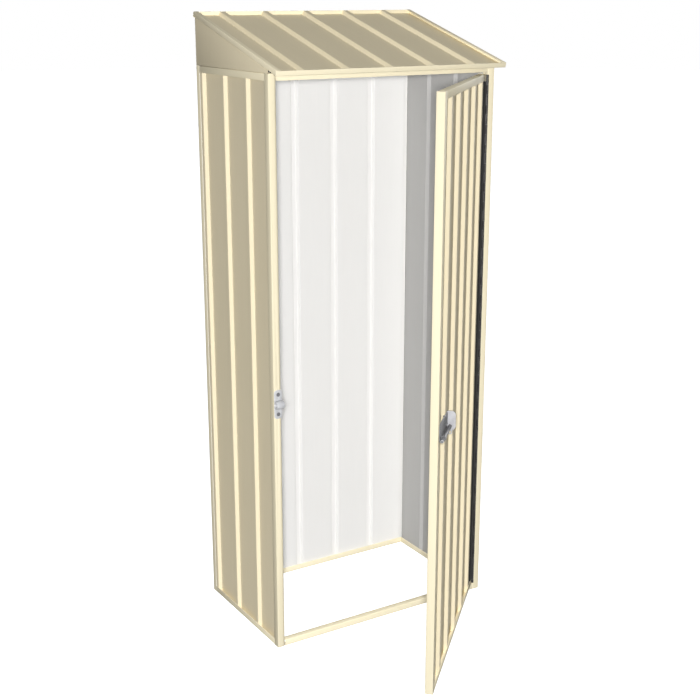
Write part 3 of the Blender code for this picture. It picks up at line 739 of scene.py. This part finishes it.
def coat_inside(node, ease, outside, edges, ways):
    """An eased copy whose faces that look one of the ways get the backing coat."""
    piece = eased_copy(node + "_coated", node, ease, outside, edges)
    piece.data.materials.append(backing)
    for face in piece.data.polygons:
        if max(face.normal.dot(way) for way in ways) > 0.5:
            face.material_index = 2
    hand_over(piece, node)


coat_inside("gable_infill_left", gable_ease, stone, stone, [X])
coat_inside("gable_infill_right", gable_ease, stone, stone, [-X])
coat_inside("back_left_post", folded_ease, cream, cream_edge, [X, -Y])
coat_inside("back_right_post", folded_ease, cream, cream_edge, [-X, -Y])
print("four parts coated on both sides")

# %% [markdown]
# The foam seal in the hinge stile's mouth is cut from a soft board, so its long edges are rounder
# than any metal edge. It is a bar with a millimetre of ease, and its finish does the rest.

# %% Door seal
seal_ease = 0.001
seal = eased_copy("door_edge_seal_foam", "door_edge_seal", seal_ease, foam, foam)
hand_over(seal, "door_edge_seal")
print("seal with", len(seal.data.polygons), "faces")

# %% [markdown]
# The seal's lip is an edge trim: a thin skin of the same foam that folds round the edge of the
# stile's outer face and lies flat on it, so that this face shows near black, as painted shade. Its
# section is given in millimetres from the hinge's axis, along the door and out of it, and is drawn
# out between the door's two rails.

# %% Lip of the door seal
lip_section = [(27.5, -15.2), (29.1, -15.2), (29.1, -2.4), (5.6, -2.4), (5.6, -3.15),
               (28.4, -3.15), (28.4, -4.7), (27.5, -4.7)]
lip_ease, lip_clearance, millimetre = 0.0003, 0.001, 0.001
axis_along = sum(reach("hinge_pin", to_free_edge)) / 2
axis_out = sum(reach("hinge_pin", off_door)) / 2
lip_foot = reach("door_bottom_rail", Z)[1] + lip_clearance
lip_head = reach("door_top_rail", Z)[0] - lip_clearance
axis_foot = to_free_edge * axis_along + off_door * axis_out + Z * lip_foot
shell = bmesh.new()
ring = [shell.verts.new(axis_foot + (to_free_edge * along + off_door * out) * millimetre)
        for along, out in lip_section]
drawn = bmesh.ops.extrude_face_region(shell, geom=[shell.faces.new(ring)])["geom"]
raised = [part for part in drawn if isinstance(part, bmesh.types.BMVert)]
bmesh.ops.translate(shell, vec=Z * (lip_head - lip_foot), verts=raised)
bmesh.ops.recalc_face_normals(shell, faces=shell.faces)
lip_mesh = bpy.data.meshes.new("door_seal_lip_painted_shade")
shell.to_mesh(lip_mesh)
shell.free()
lip_mesh.materials.append(foam)
# The lip's near black on the stile's outer face is painted shade.
lip = add_piece("door_seal_lip_painted_shade", lip_mesh)
ease = lip.modifiers.new("soft_edges", "BEVEL")
ease.width = lip_ease
ease.segments = 3
settle(lip)
lip.data.shade_smooth()
lip.data.set_sharp_from_angle(angle=smooth_below)
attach(lip, frame["nodes"]["door_edge_seal"]["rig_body"])
print("lip runs", round(lip_head - lip_foot, 3), "m between the rails")

# %% [markdown]
# ## Continuous hinge
#
# A hinge that runs the door's full height is rolled from two long strips. Each is notched so that
# only every second knuckle is left on it, and the two mesh round one pin. The tree makes one leaf:
# an arc of points becomes a knuckle, copies of it stand at every second pitch, and a plain strip
# carries them. The other leaf is the same shape turned end for end, which is how a shop makes it.

# %% Hinge leaf tree
leaf_tree, graph, size = new_shape("hinge_leaf", {
    "Length": 1.0, "Knuckles": 3, "Knuckle Radius": 0.1, "Leaf Width": 0.1, "Gap": 0.1,
    "First Knuckle": 1, "Finish": "NodeSocketMaterial"})
steps, rolled = 18, math.radians(282)
index = graph.add("GeometryNodeInputIndex")
angle = 2 * math.pi - rolled + (index / steps) * rolled
radius = size["Knuckle Radius"]
strip_edge = radius * 1.3
root = index.maths("GREATER_THAN", steps)
curl_x = angle.maths("COSINE") * radius * (1 - root) + root * radius
curl_y = angle.maths("SINE") * radius * (1 - root) + root * strip_edge
curl = graph.add("ShaderNodeCombineXYZ", None, {"X": curl_x, "Y": curl_y})
pitch = size["Length"] / size["Knuckles"]
arc = graph.add("GeometryNodeMeshLine", {"mode": "OFFSET"}, {"Count": steps + 2})
arc = graph.add("GeometryNodeSetPosition", None, {"Geometry": arc, "Position": curl})
tall = graph.add("ShaderNodeCombineXYZ", None, {"Z": pitch - size["Gap"]})
knuckle = graph.add("GeometryNodeExtrudeMesh", {"mode": "EDGES"}, {"Mesh": arc, "Offset": tall})
number = ((size["Knuckles"] - size["First Knuckle"]) / 2).maths("CEIL")
first = graph.add("ShaderNodeCombineXYZ", None, {"Z": size["First Knuckle"] * pitch + size["Gap"] / 2})
every = graph.add("ShaderNodeCombineXYZ", None, {"Z": pitch * 2})
places = graph.add("GeometryNodeMeshLine", {"mode": "OFFSET"},
                   {"Count": number, "Start Location": first, "Offset": every})
knuckles = graph.add("GeometryNodeInstanceOnPoints", None, {"Points": places, "Instance": knuckle})
edge = graph.add("ShaderNodeCombineXYZ", None, {"X": radius, "Y": strip_edge})
wide = graph.add("ShaderNodeCombineXYZ", None, {"Y": size["Leaf Width"] - strip_edge})
strip = graph.add("GeometryNodeMeshLine", {"mode": "OFFSET"},
                  {"Count": 2, "Start Location": edge, "Offset": wide})
long = graph.add("ShaderNodeCombineXYZ", None, {"Z": size["Length"]})
strip = graph.add("GeometryNodeExtrudeMesh", {"mode": "EDGES"}, {"Mesh": strip, "Offset": long})
whole = graph.add("GeometryNodeJoinGeometry", None, {"Geometry": knuckles})
graph.tree.links.new(strip.socket, whole.socket.node.inputs["Geometry"])
end_shape(graph, whole, size["Finish"])
print("hinge leaf tree:", len(leaf_tree.nodes), "nodes")

# %% [markdown]
# The two leaves run the pin's whole length. The post's leaf starts with its second knuckle, and the
# door's leaf is the same shape set from the top down, so that its knuckles fill the gaps.

# %% Hinge leaves
pin_low, pin_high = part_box("hinge_pin")
pin_middle = (pin_low + pin_high) / 2
knuckle_radius = 0.003
leaf_metal = 0.0011


def make_leaf(name, node, along, inward, foot, first_knuckle):
    """One leaf: its strip stands a knuckle's radius along from the pin and runs inward."""
    sizes = {"Length": pin_high.z - pin_low.z, "Knuckles": 57, "Knuckle Radius": knuckle_radius,
             "Leaf Width": 0.02, "Gap": 0.0006, "First Knuckle": first_knuckle, "Finish": dark}
    leaf = run_shape(leaf_tree, name, sizes)
    metal = leaf.modifiers.new("metal", "SOLIDIFY")
    metal.thickness = leaf_metal
    metal.offset = -1
    settle(leaf)
    leaf.data.set_sharp_from_angle(angle=math.radians(40))
    put(leaf, Vector((pin_middle.x, pin_middle.y, foot)), along, inward)
    hand_over(leaf, node)
    print(name, "has", len(leaf.data.polygons), "faces")


make_leaf("hinge_leaf_on_post", "hinge_leaf_frame", X, Y, pin_low.z, first_knuckle=1)
make_leaf("hinge_leaf_on_door", "hinge_leaf_door", to_free_edge, -off_door, pin_high.z, first_knuckle=0)

# %% [markdown]
# ## Bolt and keeper
#
# The bolt's plate, ear and guide, the pull on its bar and the keeper's plate and loop are cut or
# bent from thick strip, and the bar from rod, and then zinc plated. Tumbling before the plating
# rounds their edges more than the frame's, and the plating is brighter there, so the eased edges get
# the brighter finish. Each line below gives a fitting's ease and its plating.

# %% Plated fittings
# The bolt's plate, guide and bar take the darker copy of the plating, which is painted shade.
fittings = {"bolt_plate": (0.0004, zinc_painted_shade),
            "bolt_guide": (0.0003, zinc_painted_shade),
            "bolt_bar": (0.0003, zinc_painted_shade),
            "bolt_ear": (0.0005, worn_zinc),
            "bolt_pull": (0.0008, worn_zinc),
            "keeper_plate": (0.0005, zinc),
            "keeper_loop": (0.0006, zinc)}
for node, (ease, plating) in fittings.items():
    piece = eased_copy(node + "_plated", node, ease, plating, zinc_edge)
    hand_over(piece, node)
print("eased", len(fittings), "plated fittings")

# %% [markdown]
# ## Screws and rivets
#
# Eighteen fasteners hold the fittings and the hinge. One tree makes them all, because each is a
# turned shape with a recess in its head: a slot across a pan head screw, a small pit in the dome of
# a blind rivet. A grid is wrapped round into a head by rule, a second one into a shank whose thread
# is a wave that climbs as it turns, and a box cuts the recess. The shape then stands on every point
# of a row, and each is turned by a random amount, as drivers leave them.

# %% Fastener tree
fastener_tree, graph, size = new_shape("fastener", {
    "Head Radius": 0.1, "Head Height": 0.1, "Fullness": 0.5, "Shank Radius": 0.1, "Shank Length": 0.1,
    "Thread Depth": 0.0, "Thread Pitch": 0.1, "Recess Width": 0.1, "Recess Length": 0.1,
    "Recess Depth": 0.1, "Finish": "NodeSocketMaterial"})


def turned(rings, sides, rule):
    """A closed round shape about Y, from a rule for radius and height along it and round it."""
    grid = graph.add("GeometryNodeMeshGrid", None, {"Size X": 1, "Size Y": 1, "Vertices X": rings + 1,
                                                    "Vertices Y": sides + 1})
    place = graph.add("ShaderNodeSeparateXYZ", None, {"Vector": graph.add("GeometryNodeInputPosition")})
    along, turn = place + 0.5, (place.sibling("Y") + 0.5) * (2 * math.pi)
    radius, height = rule(along, turn)
    spots = graph.add("ShaderNodeCombineXYZ", None, {"X": turn.maths("COSINE") * radius, "Y": height,
                                                     "Z": turn.maths("SINE") * radius})
    shaped = graph.add("GeometryNodeSetPosition", None, {"Geometry": grid, "Position": spots})
    return graph.add("GeometryNodeMergeByDistance", None, {"Geometry": shaped, "Distance": 0.000005})


def head_rule(along, turn):
    """A dome from its top to its rim, then its flat underside back to the middle."""
    quarter_turn, dome_share = math.pi / 2, 0.8
    lean = (along * (quarter_turn / dome_share)).maths("MINIMUM", quarter_turn)
    under = ((along - dome_share) / (1 - dome_share)).maths("MAXIMUM", 0)
    radius = lean.maths("SINE").maths("POWER", size["Fullness"]) * size["Head Radius"] * (1 - under)
    height = lean.maths("COSINE").maths("MAXIMUM", 0).maths("POWER", size["Fullness"])
    return radius, height * size["Head Height"]


def shank_rule(along, turn):
    """A threaded shank that is closed at both ends."""
    end_share, closed_share = 0.05, 0.02
    down = ((along - end_share) / (1 - 2 * end_share)).maths("MAXIMUM", 0).maths("MINIMUM", 1)
    down = down * size["Shank Length"]
    wave = (down / size["Thread Pitch"] * (2 * math.pi) + turn).maths("SINE")
    solid = along.maths("GREATER_THAN", closed_share) * along.maths("LESS_THAN", 1 - closed_share)
    return (size["Shank Radius"] - size["Thread Depth"] * (wave + 1)) * solid, down * -1


head = turned(rings=15, sides=24, rule=head_rule)
shank = turned(rings=40, sides=10, rule=shank_rule)
pit = graph.add("ShaderNodeCombineXYZ", None, {"X": size["Recess Width"], "Y": size["Recess Depth"] * 2,
                                               "Z": size["Recess Length"]})
pit = graph.add("GeometryNodeMeshCube", None, {"Size": pit})
top = graph.add("ShaderNodeCombineXYZ", None, {"Y": size["Head Height"]})
pit = graph.add("GeometryNodeTransform", None, {"Geometry": pit, "Translation": top})
outward_head = graph.add("GeometryNodeFlipFaces", None, {"Mesh": head})
cut_head = graph.add("GeometryNodeMeshBoolean", {"operation": "DIFFERENCE", "solver": "EXACT"},
                     {"Mesh 1": outward_head, "Mesh 2": pit})
whole = graph.add("GeometryNodeJoinGeometry", None, {"Geometry": cut_head})
graph.tree.links.new(shank.socket, whole.socket.node.inputs["Geometry"])
turn = graph.add("FunctionNodeRandomValue", {"data_type": "FLOAT"}, {2: 0.0, 3: math.pi, "Seed": 4}, out=1)
turn = graph.add("ShaderNodeCombineXYZ", None, {"Y": turn})
rows = graph.add("GeometryNodeInstanceOnPoints", None,
                 {"Points": size["Geometry"], "Instance": whole, "Rotation": turn})
end_shape(graph, rows, size["Finish"])
print("fastener tree:", len(fastener_tree.nodes), "nodes")

# %% [markdown]
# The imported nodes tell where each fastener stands: its head's top along the way it looks, and its
# middle along the two other directions. One piece holds each row.

# %% Rows of fasteners
screw = {"Head Radius": 0.006, "Head Height": 0.002, "Fullness": 0.45, "Shank Radius": 0.0022,
         "Shank Length": 0.009, "Thread Depth": 0.0003, "Thread Pitch": 0.0014, "Recess Width": 0.0015,
         "Recess Length": 0.02, "Recess Depth": 0.0011, "Finish": screw_zinc}
rivet = {"Head Radius": 0.003, "Head Height": 0.0012, "Fullness": 0.8, "Shank Radius": 0.0015,
         "Shank Length": 0.0028, "Thread Depth": 0.0, "Thread Pitch": 0.001, "Recess Width": 0.0012,
         "Recess Length": 0.0012, "Recess Depth": 0.0006, "Finish": steel}


def fasten(name, nodes, along, outward, sizes):
    """One piece for a row of like fasteners whose heads look outward."""
    across = along.cross(outward)
    places = [(sum(reach(node, along)) / 2, reach(node, outward)[1] - sizes["Head Height"],
               sum(reach(node, across)) / 2) for node in nodes]
    mesh = bpy.data.meshes.new(name)
    mesh.from_pydata(places, [], [])
    row = run_shape(fastener_tree, name, sizes, mesh)
    shell = bmesh.new()
    shell.from_mesh(row.data)
    bmesh.ops.recalc_face_normals(shell, faces=shell.faces)
    shell.to_mesh(row.data)
    shell.free()
    row.data.set_sharp_from_angle(angle=smooth_below)
    put(row, Vector((0, 0, 0)), along, outward)
    hand_over(row, *nodes)
    print(name, "stands for", len(nodes), "nodes with", len(row.data.polygons), "faces")


fasten("keeper_screws", [f"keeper_screw_{n}" for n in (1, 2)], X, -Y, screw)
fasten("bolt_screws", [f"bolt_screw_{n}" for n in (1, 2, 3, 4)], to_free_edge, off_door, screw)
fasten("post_rivets", [f"frame_hinge_rivet_{n}" for n in range(1, 7)], Y, -X, rivet)
fasten("door_rivets", [f"door_hinge_rivet_{n}" for n in range(1, 7)], off_door, -to_free_edge, rivet)

# %% [markdown]
# ## The end
#
# The last cell only says that the scene is dressed.

# %% Finish
print("scene dressed")
